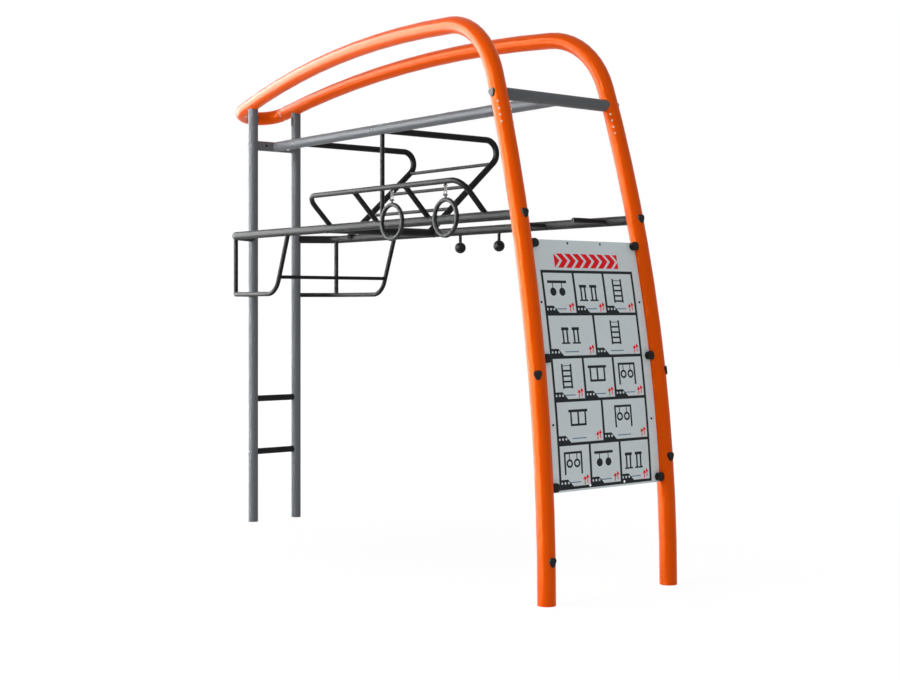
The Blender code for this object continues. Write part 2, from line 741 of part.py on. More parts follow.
def make_sign():
    step = (SIGN_TOP - SIGN_BOTTOM) / SIGN_ROWS
    heights = [SIGN_BOTTOM + step * row for row in range(SIGN_ROWS + 1)]
    mesh = sign_mesh("sign_panel", heights, SIGN_THICKNESS, SIGN_EDGE_GAP)
    panel = link("sign_panel", mesh, "sign_board")
    heights = [SIGN_BOTTOM - OVERRUN, *heights, SIGN_TOP + OVERRUN]
    mesh = sign_mesh("sign_slot", heights, SIGN_THICKNESS + 2 * SEAT_GAP, -CLAMP_DIAMETER / 2)
    slot = link("sign_slot", mesh)
    radius = CLAMP_DIAMETER / 2
    half = CLAMP_DEPTH / 2
    profile = [
        (0, half),
        (radius - CLAMP_CHAMFER, half),
        (radius, half - CLAMP_CHAMFER),
        (radius, CLAMP_CHAMFER - half),
        (radius - CLAMP_CHAMFER, -half),
        (0, -half),
    ]
    for name, side in SIDES.items():
        for level, height in CLAMP_HEIGHTS.items():
            centre, along, front = leg_frame(height, side)
            offset = LEG_TUBE / 2 + radius - CLAMP_BITE
            place = centre - ACROSS * (side * offset) + front * CLAMP_FORWARD
            clamp_name = f"sign_clamp_{name}_{level}"
            clamp = turned(clamp_name, profile, RAIL_SIDES, "black_paint")
            clamp.location = place
            clamp.rotation_euler = front.to_track_quat("Z", "Y").to_euler()
            cope(clamp, "leg_tube_" + name)
            boolean(clamp, slot)
            ends = [place - front * (half - OVERRUN), place + front * (half - OVERRUN)]
            bolt = round_bar(clamp_name + "_bolt", *ends, CLAMP_BOLT / 2)
            boolean(clamp, bolt, "UNION")
            hole = round_bar(clamp_name + "_hole", *ends, CLAMP_BOLT / 2 + SEAT_GAP)
            boolean(panel, hole)


def cover_mesh(name):
    """A rounded shield, drawn in its own XY plane with its point towards -Y and its face towards +Z."""
    half = COVER_WIDTH / 2
    top = COVER_HEIGHT / 3
    corners = [Vector((-half, top, 0)), Vector((0, top - COVER_HEIGHT, 0)), Vector((half, top, 0))]
    loop = [(corners[2] + corners[0]) / 2, *corners, (corners[2] + corners[0]) / 2]
    outline = bent(loop, COVER_CORNER, CORNER_STEP)[1:]
    shape = bmesh.new()
    face = shape.faces.new([shape.verts.new(point) for point in outline])
    wall = bmesh.ops.extrude_face_region(shape, geom=[face])
    moved = [v for v in wall["geom"] if isinstance(v, bmesh.types.BMVert)]
    bmesh.ops.translate(shape, verts=moved, vec=UP * (COVER_DEPTH + COVER_STAND))
    rim = [e for e in wall["geom"] if isinstance(e, bmesh.types.BMEdge)]
    bmesh.ops.bevel(shape, geom=rim, offset=COVER_BEVEL, segments=1, affect="EDGES")
    bmesh.ops.recalc_face_normals(shape, faces=shape.faces)
    mesh = bpy.data.meshes.new(name)
    shape.to_mesh(mesh)
    shape.free()
    return mesh


def make_covers():
    for name, side in SIDES.items():
        for number, (height, turn) in enumerate(COVERS[name], 1):
            centre, along, front = leg_frame(height, side)
            out = Matrix.Rotation(math.radians(turn) * side, 3, along) @ front
            right = along.cross(out)
            cover_name = f"bolt_cover_{name}_{number}"
            cover = link(cover_name, cover_mesh(cover_name), "black_paint")
            place = centre + out * (LEG_TUBE / 2 - COVER_DEPTH)
            axes = Matrix((right, along, out)).transposed().to_4x4()
            cover.matrix_local = Matrix.Translation(place) @ axes
            host = "arch_tube_" if height > SPLICE_HEIGHT else "leg_tube_"
            cope(cover, host + name)


clear_scene()
materials = {name: make_material(name) for name in MATERIALS}
station = bpy.data.objects.new("station", None)
bpy.context.scene.collection.objects.link(station)
centre_x, centre_y = box_centre()
station.location = (-centre_x, -centre_y, 0)

make_legs()
make_splices()
make_posts()
make_upper_frame()
make_rails()
make_low_frame()
make_ladder()
make_rings(make_pull_up_bar())
make_ball_grips()
make_handles()
make_sign()
make_covers()
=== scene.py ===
"""Looks of the outdoor pull-up station: paint, steel, print, screws, welds and caps, and the stage.

Every length is in metres. The station's own frame has the grey posts on the Y axis and +X running
to the feet of the orange legs; placed() moves a point of that frame to where the model stands.
"""

import json
import math

import bmesh
import bpy
from mathutils import Matrix, Vector
from mathutils.bvhtree import BVHTree

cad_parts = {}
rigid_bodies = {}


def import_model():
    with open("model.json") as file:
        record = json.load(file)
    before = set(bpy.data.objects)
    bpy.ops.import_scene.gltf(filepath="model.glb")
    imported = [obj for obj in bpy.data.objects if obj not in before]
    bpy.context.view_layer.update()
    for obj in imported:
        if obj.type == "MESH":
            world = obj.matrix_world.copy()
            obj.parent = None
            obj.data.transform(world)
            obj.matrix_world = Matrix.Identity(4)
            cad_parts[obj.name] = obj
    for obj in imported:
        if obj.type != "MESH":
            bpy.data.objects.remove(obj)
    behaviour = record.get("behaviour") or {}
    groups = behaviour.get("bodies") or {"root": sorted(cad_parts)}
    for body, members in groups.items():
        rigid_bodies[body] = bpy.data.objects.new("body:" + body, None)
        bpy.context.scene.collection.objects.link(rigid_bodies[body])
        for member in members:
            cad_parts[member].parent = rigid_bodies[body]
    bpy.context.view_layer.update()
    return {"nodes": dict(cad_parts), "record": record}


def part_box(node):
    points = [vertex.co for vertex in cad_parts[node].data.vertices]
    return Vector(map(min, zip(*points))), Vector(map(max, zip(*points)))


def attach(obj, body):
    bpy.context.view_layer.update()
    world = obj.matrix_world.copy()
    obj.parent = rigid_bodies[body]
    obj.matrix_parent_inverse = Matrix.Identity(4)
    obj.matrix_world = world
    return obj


bl_info = {
    "name": "Pull-up Station Looks",
    "version": (1, 0, 0),
    "blender": (4, 5, 0),
    "location": "3D View > Sidebar > Station",
    "description": "Finishes, fasteners and stage for an outdoor pull-up station",
    "category": "Object",
}

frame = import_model()
NODES = frame["nodes"]
MOUNTS = {mount["name"]: Vector(mount["pos_m"]) for mount in frame["record"]["mounts"]}
STATION = (MOUNTS["post_foot_bar_side"] + MOUNTS["post_foot_ladder_side"]) / 2

UP = Vector((0, 0, 1))
ACROSS = Vector((0, 1, 0))
FORWARD = Vector((1, 0, 0))
SIDES = {"bar_side": -1, "ladder_side": 1}
WHITE = (1, 1, 1, 1)

# The frame, as the solids have it
FOOT_DISTANCE = 3.7747
FOOT_HALF_SPREAD = 0.5017
PLAN_TURN = math.radians(4.597)
LEG_RADIUS = 9.691
POST_HALF_SPREAD = 0.1982
BEAM_HEIGHT = 2.97

# Smoothing of the solids' facets, and rounding of the moulded ones' edges
MERGE_DISTANCE = 0.00002
SMOOTH_ANGLE = math.radians(42)
MOULD_EDGE = 0.002

# How sharp an edge may be on a modelled piece and still be shaded smooth
SCREW_CREASE = math.radians(35)
LID_CREASE = math.radians(50)
WELD_CREASE = math.radians(60)

# How far out of a tube's middle the search for its skin starts
SEAT_REACH = 0.1

# Where the small parts sit, in the station's own frame
SPLICE_HEIGHT = 2.85
SPLICE_SCREW_HEIGHTS = (2.912, 2.871, 2.830, 2.789)
SPLICE_SCREW_FACING = Vector((0.53, 0.85, 0))
POST_BOLT_HEIGHTS = (2.973, 0.970, 0.554)
OVAL_CAP_HEIGHT = 3.185
BEAM_TOP_BOLTS = (0.184, 0.696, 1.742, 2.241, 2.672)
BEAM_LOW_BOLTS = (0.200, 2.245, 2.675, 3.100)
BEAM_SIDE_BOLTS = (0.329, 1.388)
CROSSBAR_BOLT_REACH = 0.1
BOW_JOINT = (-0.14, 0.183, 3.262)
BOW_SCREW_TILTS = (-22, 0, 22)

# The sign's screws: reach to each side, height and finish
SIGN_SCREWS = (
    (0.135, 2.075, "black_powder_coat"),
    (0.405, 1.724, "black_powder_coat"),
    (0.405, 1.015, "black_powder_coat"),
    (0.141, 0.653, "bolt_steel"),
)

# Weld beads: the gap under one, the shortest run that gets one, and its ripples
WELD_GAP = 0.0016
SHORTEST_WELD = 0.03
FEWEST_RIPPLES = 8
RIPPLE_SPACING = 0.75
RIPPLES = (0.86, 1.0, 1.1, 1.0)
WELD_SHADE = 1.4

# Coats of paint: roughness, specular level, unevenness of tone, height of peel, tint of gloss
COATS = {
    "orange_powder_coat": (0.29, 0.1, 0.02, 0.000002, (0.6, 1.0, 0.5, 1)),
    "grey_powder_coat": (0.42, 0.06, 0.05, 0.00001, WHITE),
    "black_powder_coat": (0.46, 0.043, 0.12, 0.00001, WHITE),
    "weld_paint": (0.42, 0.05, 0.15, 0.00002, WHITE),
}

# Steels and their roughness
STEELS = {"brushed_stainless": 0.24, "screw_steel_painted_reflection": 0.36, "bolt_steel": 0.36}

# The stage: its middle, its ambient light and its floor
STAGE_X = 1.9
AMBIENT = 0.38
FLOOR_RADIUS = 30
FLOOR_LEVEL = -0.001
FLOOR_GLOW = 1.07
FLOOR_GLOW_SHARE = 0.8
FLOOR_GLOW_PER_METRE = 0.025
PAPER = (0.9, 0.9, 0.9, 1)

# Soft lamps: azimuth, elevation, distance, width, height and power
LAMPS = {
    "key_light": (-96, 14, 8.0, 7.0, 4.5, 410),
    "fill_light": (-20, 20, 9.0, 4.0, 4.0, 50),
    "back_light": (150, 15, 9.0, 6.0, 4.0, 260),
}
LAMP_AIM = 1.8

# Gloss panels: azimuth, half of their angle across, and strength
GLOSS_PANELS = {
    "panel_near": (-93, 12, 80.0),
    "panel_side": (-129.5, 16.5, 26.0),
    "panel_far": (-162, 16, 16.0),
}
PANEL_DISTANCE = 16.0
PANEL_HEIGHT = 14.0
PANEL_LEVEL = 4.6

# The camera, in the station's own frame
CAMERA_PLACE = (9.749, -5.929, 1.70)
CAMERA_TURN = math.radians(51.648)
CAMERA_LENS = 56.697
CAMERA_SENSOR = 36
CAMERA_SHIFT = -0.03764
CAMERA_SIGHT = 200


def placed(x, y, z):
    return STATION + Vector((x, y, z))


def leg_axis(height, side):
    """A point on the centre line of a leg at a height."""
    distance = LEG_RADIUS - math.sqrt(LEG_RADIUS**2 - height**2)
    x = FOOT_DISTANCE - distance * math.cos(PLAN_TURN)
    y = FOOT_HALF_SPREAD - distance * math.sin(PLAN_TURN)
    return placed(x, side * y, height)


def colour_setting(name, description, default):
    return bpy.props.FloatVectorProperty(
        name=name, description=description, default=default, subtype="COLOR", min=0, max=1
    )


def length_setting(name, description, default):
    return bpy.props.FloatProperty(
        name=name, description=description, default=default, unit="LENGTH", min=0.0005
    )


class StationColours(bpy.types.PropertyGroup):
    orange: colour_setting("Orange", "Powder coat of the legs and arches", (0.85, 0.093, 0.001))
    grey: colour_setting("Grey", "Paint of the posts, crossbars and beam", (0.133, 0.144, 0.155))
    black: colour_setting("Black", "Paint of the rails, ladder and bar", (0.0162, 0.0167, 0.0172))
    board: colour_setting("Board", "Ground of the sign", (0.8, 0.89, 0.92))
    ink: colour_setting("Ink", "Lines and drawings on the sign", (0.02, 0.025, 0.028))
    second_ink: colour_setting("Second Ink", "Ground lines on the sign", (0.16, 0.26, 0.38))
    accent: colour_setting("Accent", "Header and arrows on the sign", (0.93, 0.014, 0.024))
    steel: colour_setting("Steel", "Shackles of the rings", (0.6, 0.6, 0.59))
    # The Screw colour's warm tint is a painted reflection of the orange tubes around the screws;
    # the screws themselves are stainless steel.
    screw: colour_setting("Screw", "Screws in the orange tubes", (0.82, 0.68, 0.56))
    bolt: colour_setting("Bolt", "Bolts in posts, beam and sign", (0.95, 0.95, 0.93))
    rubber: colour_setting("Rubber", "Coating of the gym rings", (0.016, 0.017, 0.018))
    plastic: colour_setting("Plastic", "Covers, caps and clamps", (0.012, 0.0125, 0.013))


class StationSizes(bpy.types.PropertyGroup):
    screw_head: length_setting("Screw Head", "Width of the screws in the orange tubes", 0.0145)
    bolt_head: length_setting("Bolt Head", "Width of the bolts in posts and beam", 0.0185)
    sign_screw: length_setting("Sign Screw", "Width of the screws in the sign", 0.014)
    cap_length: length_setting("Oval Cap Length", "Length of the oval caps on the posts", 0.075)
    cap_width: length_setting("Oval Cap Width", "Width of the oval caps on the posts", 0.026)
    weld_bead: length_setting("Weld Bead", "Radius of the weld beads", 0.0028)
    plug_width: length_setting("Plug Width", "Width of the plugs in the handle ends", 0.031)
    lid_width: length_setting("Lid Width", "Width of the lids on the sign clamps", 0.062)
    lid_height: length_setting("Lid Height", "Height of the lids on the sign clamps", 0.053)
    lid_rise: length_setting("Lid Rise", "How far the lids stand off the clamps", 0.007)


# Shader maths


def both_ways(operation):
    """The plain and the reflected form of an operator, each as a Math node."""

    def plain(self, other):
        return self.maths(operation, self, other)

    def reflected(self, other):
        return self.maths(operation, other, self)

    return plain, reflected


class Wire:
    """One socket of a node, so that its maths can be written as an expression."""

    def __init__(self, tree, socket):
        self.tree = tree
        self.socket = socket

    def beside(self, output):
        """Another output of the same node."""
        return Wire(self.tree, self.socket.node.outputs[output])

    def maths(self, operation, *values):
        return self.tree.node("ShaderNodeMath", {"operation": operation}, dict(enumerate(values)))

    __add__, __radd__ = both_ways("ADD")
    __sub__, __rsub__ = both_ways("SUBTRACT")
    __mul__, __rmul__ = both_ways("MULTIPLY")
    __truediv__, __rtruediv__ = both_ways("DIVIDE")
    __pow__, __rpow__ = both_ways("POWER")
    __mod__, __rmod__ = both_ways("FLOORED_MODULO")

    def __lt__(self, other):
        return self.maths("LESS_THAN", self, other)

    def __gt__(self, other):
        return self.maths("GREATER_THAN", self, other)

    def __abs__(self):
        return self.maths("ABSOLUTE", self)

    def __floor__(self):
        return self.maths("FLOOR", self)

    def smaller(self, other):
        return self.maths("MINIMUM", self, other)

    def larger(self, other):
        return self.maths("MAXIMUM", self, other)


class Tree:
    """A node tree while its nodes are laid."""

    def __init__(self, tree):
        self.tree = tree
        self.tree.nodes.clear()

    def node(self, kind, settings=None, sockets=None, output=0):
        """Lays a node: its settings first, then a value or a link in each of its sockets."""
        node = self.tree.nodes.new(kind)
        for name, value in (settings or {}).items():
            setattr(node, name, value)
        for name, value in (sockets or {}).items():
            if isinstance(value, Wire):
                self.tree.links.new(value.socket, node.inputs[name])
            else:
                node.inputs[name].default_value = value
        return Wire(self, node.outputs[output]) if node.outputs else None


class Finish(Tree):
    """The nodes of a material, or of the world's light."""

    def __init__(self, owner):
        owner.use_nodes = True
        super().__init__(owner.node_tree)
        self.owner = owner

    def spot(self):
        return self.node("ShaderNodeTexCoord", output="Object")

    def axes(self, vector):
        """The X, Y and Z of a vector, each as a number."""
        x = self.node("ShaderNodeSeparateXYZ", sockets={"Vector": vector})
        return x, x.beside("Y"), x.beside("Z")

    def noise(self, vector, scale, detail, roughness):
        sockets = {"Vector": vector, "Scale": scale, "Detail": detail, "Roughness": roughness}
        return self.node("ShaderNodeTexNoise", sockets=sockets)

    def stretched(self, vector, scale):
        return self.node("ShaderNodeMapping", sockets={"Vector": vector, "Scale": scale})

    def mix(self, share, first, second):
        """A colour between two."""
        sockets = {"Factor": share, 6: opaque(first), 7: opaque(second)}
        return self.node("ShaderNodeMix", {"data_type": "RGBA"}, sockets, output=2)

    def bump(self, height, distance, strength=1.0):
        sockets = {"Height": height, "Distance": distance, "Strength": strength}
        return self.node("ShaderNodeBump", sockets=sockets)

    def principled(self, **sockets):
        named = {name.replace("_", " "): value for name, value in sockets.items()}
        return self.node("ShaderNodeBsdfPrincipled", sockets=named)

    def show(self, surface):
        """Gives the owner its finished shader, and returns the owner."""
        kind = "World" if isinstance(self.owner, bpy.types.World) else "Material"
        self.node("ShaderNodeOutput" + kind, sockets={"Surface": surface})
        return self.owner


def opaque(colour):
    """A colour with its alpha, or a wire as it is."""
    return colour if isinstance(colour, Wire) else (*colour[:3], 1)


def shaded(colour, share):
    return tuple(part * share for part in colour[:3])


def new_finish(name):
    return Finish(bpy.data.materials.new(name))


# Finishes


def powder_coat(name, colour):
    """Glossy or satin paint: slow mottle in tone and gloss, and the fine peel of a baked coat."""
    roughness, specular, tone_share, peel, tint = COATS[name]
    finish = new_finish(name)
    spot = finish.spot()
    mottle = finish.noise(spot, 2.2, 4.0, 0.6)
    cloud = finish.noise(spot, 34.0, 3.0, 0.55)
    skin = finish.noise(spot, 260.0, 2.0, 0.5)
    tone = (mottle * 0.65 + cloud * 0.35 - 0.3).larger(0).smaller(0.4) / 0.4
    base = finish.mix(tone, shaded(colour, 1 - tone_share), shaded(colour, 1 + tone_share))
    gloss = roughness + (mottle - 0.5) * 0.04
    shader = finish.principled(
        Base_Color=base,
        Roughness=gloss,
        Normal=finish.bump(skin, peel),
        Specular_IOR_Level=specular,
        Specular_Tint=tint,
    )
    return finish.show(shader)


def brushed_steel(name, colour):
    """Stainless steel with fine drawn lines and faint handling marks."""
    finish = new_finish(name)
    spot = finish.spot()
    lines = finish.noise(finish.stretched(spot, (1.0, 1.0, 9.0)), 900.0, 2.0, 0.6)
    marks = finish.noise(spot, 60.0, 4.0, 0.6)
    base = finish.mix(marks, shaded(colour, 0.86), shaded(colour, 1.08))
    gloss = STEELS[name] + (lines - 0.5) * 0.12 + (marks - 0.5) * 0.08
    normal = finish.bump(lines, 0.00004)
    shader = finish.principled(Base_Color=base, Metallic=1.0, Roughness=gloss, Normal=normal)
    return finish.show(shader)


def moulded_plastic(colour):
    """Fine grain of moulded nylon, a little greyer where it has weathered."""
    finish = new_finish("moulded_plastic")
    spot = finish.spot()
    weather = finish.noise(spot, 45.0, 3.0, 0.6)
    grain = finish.noise(spot, 1100.0, 2.0, 0.7)
    base = finish.mix(weather, shaded(colour, 0.85), shaded(colour, 1.25))
    gloss = 0.42 + (grain - 0.5) * 0.1 + (weather - 0.5) * 0.1
    normal = finish.bump(grain, 0.00012)
    shader = finish.principled(
        Base_Color=base, Roughness=gloss, Normal=normal, Specular_IOR_Level=0.1
    )
    return finish.show(shader)


def ring_coating(colour):
    """Grippy rubber on the gym rings: close pebble grain with worn, smoother patches."""
    finish = new_finish("ring_coating")
    spot = finish.spot()
    wear = finish.noise(spot, 22.0, 3.0, 0.6)
    pebble = finish.node(
        "ShaderNodeTexVoronoi", {"feature": "SMOOTH_F1"}, {"Vector": spot, "Scale": 620.0}
    )
    base = finish.mix(wear, shaded(colour, 0.85), shaded(colour, 1.2))
    gloss = 0.55 - (wear - 0.5) * 0.2
    normal = finish.bump(1 - pebble, 0.00003, 0.4)
    shader = finish.principled(
        Base_Color=base, Roughness=gloss, Normal=normal, Specular_IOR_Level=0.08
    )
    return finish.show(shader)


# Dressing the solids


def smoothing_group():
    """Nodes that weld a solid's loose triangles and shade its facets as one round surface."""
    group = bpy.data.node_groups.new("round_facets", "GeometryNodeTree")
    for way in ("INPUT", "OUTPUT"):
        group.interface.new_socket("Geometry", in_out=way, socket_type="NodeSocketGeometry")
    tree = Tree(group)
    solid = tree.node("NodeGroupInput")
    sockets = {"Geometry": solid, "Name": "custom_normal"}
    plain = tree.node("GeometryNodeRemoveAttribute", sockets=sockets)
    sockets = {"Geometry": plain, "Distance": MERGE_DISTANCE}
    merged = tree.node("GeometryNodeMergeByDistance", sockets=sockets)
    smooth = tree.node("GeometryNodeSetShadeSmooth", sockets={"Geometry": merged})
    angle = tree.node("GeometryNodeInputMeshEdgeAngle", output="Unsigned Angle")
    sockets = {0: angle, 1: SMOOTH_ANGLE}
    gentle = tree.node("FunctionNodeCompare", {"operation": "LESS_EQUAL"}, sockets)
    sockets = {"Geometry": smooth, "Shade Smooth": gentle}
    creased = tree.node("GeometryNodeSetShadeSmooth", {"domain": "EDGE"}, sockets)
    tree.node("NodeGroupOutput", sockets={0: creased})
    return group


def dress(names, material, round_edges=0):
    """Gives solids their finish, smooth shading and, for moulded ones, rounded edges."""
    group = bpy.data.node_groups.get("round_facets") or smoothing_group()
    for name in names:
        node = NODES[name]
        for slot in node.material_slots:
            slot.material = material
        node.modifiers.new("round_facets", "NODES").node_group = group
        if round_edges:
            bevel = node.modifiers.new("round_edges", "BEVEL")
            bevel.width = round_edges
            bevel.segments = 3
            bevel.angle_limit = SMOOTH_ANGLE


def slot_nodes(slot):
    """Names of the solids that the record paints with a slot."""
    return [name for name, node in NODES.items() if node.material_slots[0].name == slot]


# Modelling


def drop_selection():
    if bpy.context.mode != "OBJECT":
        bpy.ops.object.mode_set(mode="OBJECT")
    bpy.ops.object.select_all(action="DESELECT")


def pick(piece):
    """Leaves a piece active and alone in the selection."""
    drop_selection()
    piece.select_set(True)
    bpy.context.view_layer.objects.active = piece


def start_from(primitive, name, **sizes):
    """Adds a primitive as the start of a piece; it stays active and alone in the selection."""
    drop_selection()
    getattr(bpy.ops.mesh, f"primitive_{primitive}_add")(**sizes)
    piece = bpy.context.object
    piece.name = name
    piece.data.name = name
    return piece


def open_mesh(piece):
    pick(piece)
    bpy.ops.object.mode_set(mode="EDIT")


def close_mesh():
    bpy.ops.object.mode_set(mode="OBJECT")


def choose(piece, kind, wanted):
    """Selects, in edit mode, parts whose middle and normal, or an edge's direction, pass a test."""
    shape = bmesh.from_edit_mesh(piece.data)
    bpy.ops.mesh.select_mode(type=kind)
    bpy.ops.mesh.select_all(action="DESELECT")
    parts = {"VERT": shape.verts, "EDGE": shape.edges, "FACE": shape.faces}[kind]
    for part in parts:
        if kind == "FACE":
            middle, normal = part.calc_center_median(), part.normal
        elif kind == "EDGE":
            middle = (part.verts[0].co + part.verts[1].co) / 2
            normal = (part.verts[1].co - part.verts[0].co).normalized()
        else:
            middle, normal = part.co, part.normal
        part.select_set(bool(wanted(middle, normal)))
    shape.select_flush_mode()
    bmesh.update_edit_mesh(piece.data)


def cut(piece, cutter):
    """Takes the cutter's shape out of a piece, and removes the cutter."""
    pick(piece)
    modifier = piece.modifiers.new("cut", "BOOLEAN")
    modifier.object = cutter
    modifier.operation = "DIFFERENCE"
    modifier.solver = "EXACT"
    bpy.ops.object.modifier_apply(modifier=modifier.name)
    bpy.data.objects.remove(cutter)


def coat(piece, material):
    piece.data.materials.clear()
    piece.data.materials.append(material)


def complete(piece, material, crease):
    """Gives a modelled piece its finish and its smooth shading."""
    coat(piece, material)
    pick(piece)
    bpy.ops.object.shade_smooth_by_angle(angle=crease)
    return piece


def surface_of(name):
    """A solid's surface, ready for rays."""
    mesh = NODES[name].data
    corners = [vertex.co for vertex in mesh.vertices]
    return BVHTree.FromPolygons(corners, [tuple(face.vertices) for face in mesh.polygons])


def seat(name, inside, outward, reach=SEAT_REACH):
    """Where a solid's skin is met from outside along a direction, and its normal there."""
    outward = outward.normalized()
    place, normal, _, _ = surface_of(name).ray_cast(inside + outward * reach, -outward)
    if place is None:
        raise RuntimeError(f"no surface of {name} in the direction {tuple(outward)}")
    return place, normal


def turn_to(normal, roll):
    return normal.to_track_quat("Z", "Y").to_matrix().to_4x4() @ Matrix.Rotation(roll, 4, "Z")


def add_copy(pattern, name, place, normal, roll=0.0):
    """A copy of a modelled piece, set on the frame with its axis along a normal."""
    mesh = pattern.data.copy()
    mesh.transform(Matrix.Translation(place) @ turn_to(normal, roll))
    mesh.name = name
    piece = bpy.data.objects.new(name, mesh)
    bpy.context.scene.collection.objects.link(piece)
    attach(piece, "frame")
    return piece


def fasten(pattern, name, host, inside, outward, roll=0.0):
    """Sets a copy of a pattern where a solid's skin is met from outside along a direction."""
    place, normal = seat(host, inside, outward)
    return add_copy(pattern, name, place, normal, roll)


def button_head(name, width, material):
    """A domed screw head with a hexagon recess; its foot sinks into a round tube."""
    radius = width / 2
    height = width * 0.3
    sink = width * 0.11
    middle = (0, 0, (height - sink) / 2)
    head = start_from(
        "cylinder", name, vertices=24, radius=radius, depth=height + sink, location=middle
    )
    bpy.ops.object.transform_apply(location=True)
    open_mesh(head)
    top = height * 0.98
    choose(head, "EDGE", lambda middle, along: middle.z > top and abs(along.z) < 0.5)
    bpy.ops.mesh.bevel(offset=height * 0.78, segments=5, profile=0.5, affect="EDGES")
    choose(head, "FACE", lambda middle, normal: middle.z > top and normal.z > 0.9)
    bpy.ops.mesh.inset(thickness=radius * 0.08)
    close_mesh()
    key = start_from(
        "cylinder",
        name + "_key",
        vertices=6,
        radius=radius * 0.45,
        depth=height * 1.3,
        location=(0, 0, height),
    )
    bpy.ops.object.transform_apply(location=True)
    cut(head, key)
    return complete(head, material, SCREW_CREASE)


def cap_head(name, width, material):
    """A low pan head on a thin washer."""
    radius = width / 2
    head = start_from("cylinder", name, vertices=24, radius=radius, depth=width * 0.16)
    open_mesh(head)
    choose(head, "FACE", lambda middle, normal: normal.z > 0.9)
    bpy.ops.mesh.inset(thickness=radius * 0.22)
    bpy.ops.mesh.extrude_region_move(TRANSFORM_OT_translate={"value": (0, 0, width * 0.14)})
    bpy.ops.mesh.inset(thickness=radius * 0.16)
    bpy.ops.transform.translate(value=(0, 0, width * 0.05))
    bpy.ops.mesh.inset(thickness=radius * 0.2)
    bpy.ops.mesh.extrude_region_move(TRANSFORM_OT_translate={"value": (0, 0, -width * 0.12)})
    close_mesh()
    return complete(head, material, SCREW_CREASE)


def draw_out(piece, along, extra, clear):
    """Parts the two halves of a round piece, in edit mode, to give it straight sides."""
    for end in (1, -1):
        choose(piece, "VERT", lambda middle, normal: middle.dot(along) * end > clear)
        bpy.ops.transform.translate(value=along * (end * extra / 2))


def dome(piece, steps):
    """Steps the top face in and up, in edit mode, by a width and a rise at a time."""
    choose(piece, "FACE", lambda middle, normal: normal.z > 0.9)
    for inset, rise in steps:
        bpy.ops.mesh.inset(thickness=inset)
        bpy.ops.transform.translate(value=(0, 0, rise))


def oval_cap(name, length, width, material):
    """A domed oval plug, half sunk in a post's round face."""
    cap = start_from("cylinder", name, vertices=24, radius=width / 2, depth=0.004)
    open_mesh(cap)
    draw_out(cap, ACROSS, length - width, width * 0.025)
    dome(cap, ((width * 0.12, 0.0012), (width * 0.1, 0.0006)))
    close_mesh()
    return complete(cap, material, LID_CREASE)


def domed_lid(name, width, height, rise, material):
    """A shallow dome with straight sides between two round ends."""
    radius = height / 2
    lid = start_from("cylinder", name, vertices=32, radius=radius, depth=rise)
    open_mesh(lid)
    draw_out(lid, FORWARD, width - height, radius * 0.05)
    shares = ((0.12, 0.3), (0.2, 0.14), (0.22, 0.12), (0.24, 0.1))
    dome(lid, [(radius * inset, rise * step) for inset, step in shares])
    close_mesh()
    return complete(lid, material, LID_CREASE)


# Weld beads


def cope_edges(name, neighbour):
    """Runs of points along the edges where a piece was cut to sit against its neighbour."""
    shape = bmesh.new()
    shape.from_mesh(NODES[name].data)
    bmesh.ops.remove_doubles(shape, verts=shape.verts, dist=MERGE_DISTANCE)
    skin = surface_of(neighbour)
    joined = {}
    for edge in shape.edges:
        if len(edge.link_faces) != 2 or edge.calc_face_angle() < SMOOTH_ANGLE:
            continue
        if any(skin.find_nearest(vertex.co, WELD_GAP)[0] is None for vertex in edge.verts):
            continue
        first, second = edge.verts
        joined.setdefault(first.index, set()).add(second.index)
        joined.setdefault(second.index, set()).add(first.index)
    places = {vertex.index: vertex.co.copy() for vertex in shape.verts if vertex.index in joined}
    shape.free()
    return chains(joined, places)


def chains(joined, places):
    """Walks joined points into runs; a run that closes ends on the point it began with."""
    runs = []
    left = {point: set(others) for point, others in joined.items()}
    while any(left.values()):
        ends = [point for point, others in left.items() if len(others) == 1]
        here = min(ends) if ends else min(point for point, others in left.items() if others)
        run = [here]
        while left[here]:
            after = min(left[here])
            left[here].discard(after)
            left[after].discard(here)
            run.append(after)
            here = after
        runs.append([places[point] for point in run])
    return runs


def respaced(run, spacing):
    """The same line with points an even distance apart."""
    lengths = [0.0]
    for before, after in zip(run, run[1:]):
        lengths.append(lengths[-1] + (after - before).length)
    count = max(FEWEST_RIPPLES, round(lengths[-1] / spacing))
    even = []
    here = 0
    for step in range(count + 1):
        target = lengths[-1] * step / count
        while here < len(run) - 2 and lengths[here + 1] < target:
            here += 1
        share = (target - lengths[here]) / (lengths[here + 1] - lengths[here])
        even.append(run[here].lerp(run[here + 1], share))
    return even


def weld_bead(name, run, radius, material):
    """A rippled bead along a run of points."""
    closed = run[0] == run[-1]
    points = respaced(run, radius * RIPPLE_SPACING)
    if closed:
        points = points[:-1]
    curve = bpy.data.curves.new(name, "CURVE")
    curve.dimensions = "3D"
    curve.bevel_depth = radius
    curve.bevel_resolution = 2
    curve.use_fill_caps = not closed
    spline = curve.splines.new("POLY")
    spline.points.add(len(points) - 1)
    for number, (point, place) in enumerate(zip(spline.points, points)):
        point.co = (*place, 1)
        point.radius = RIPPLES[number % len(RIPPLES)]
    spline.use_cyclic_u = closed
    piece = bpy.data.objects.new(name, curve)
    bpy.context.scene.collection.objects.link(piece)
    pick(piece)
    bpy.ops.object.convert(target="MESH")
    piece = bpy.context.object
    piece.data.name = name
    return complete(piece, material, WELD_CREASE)


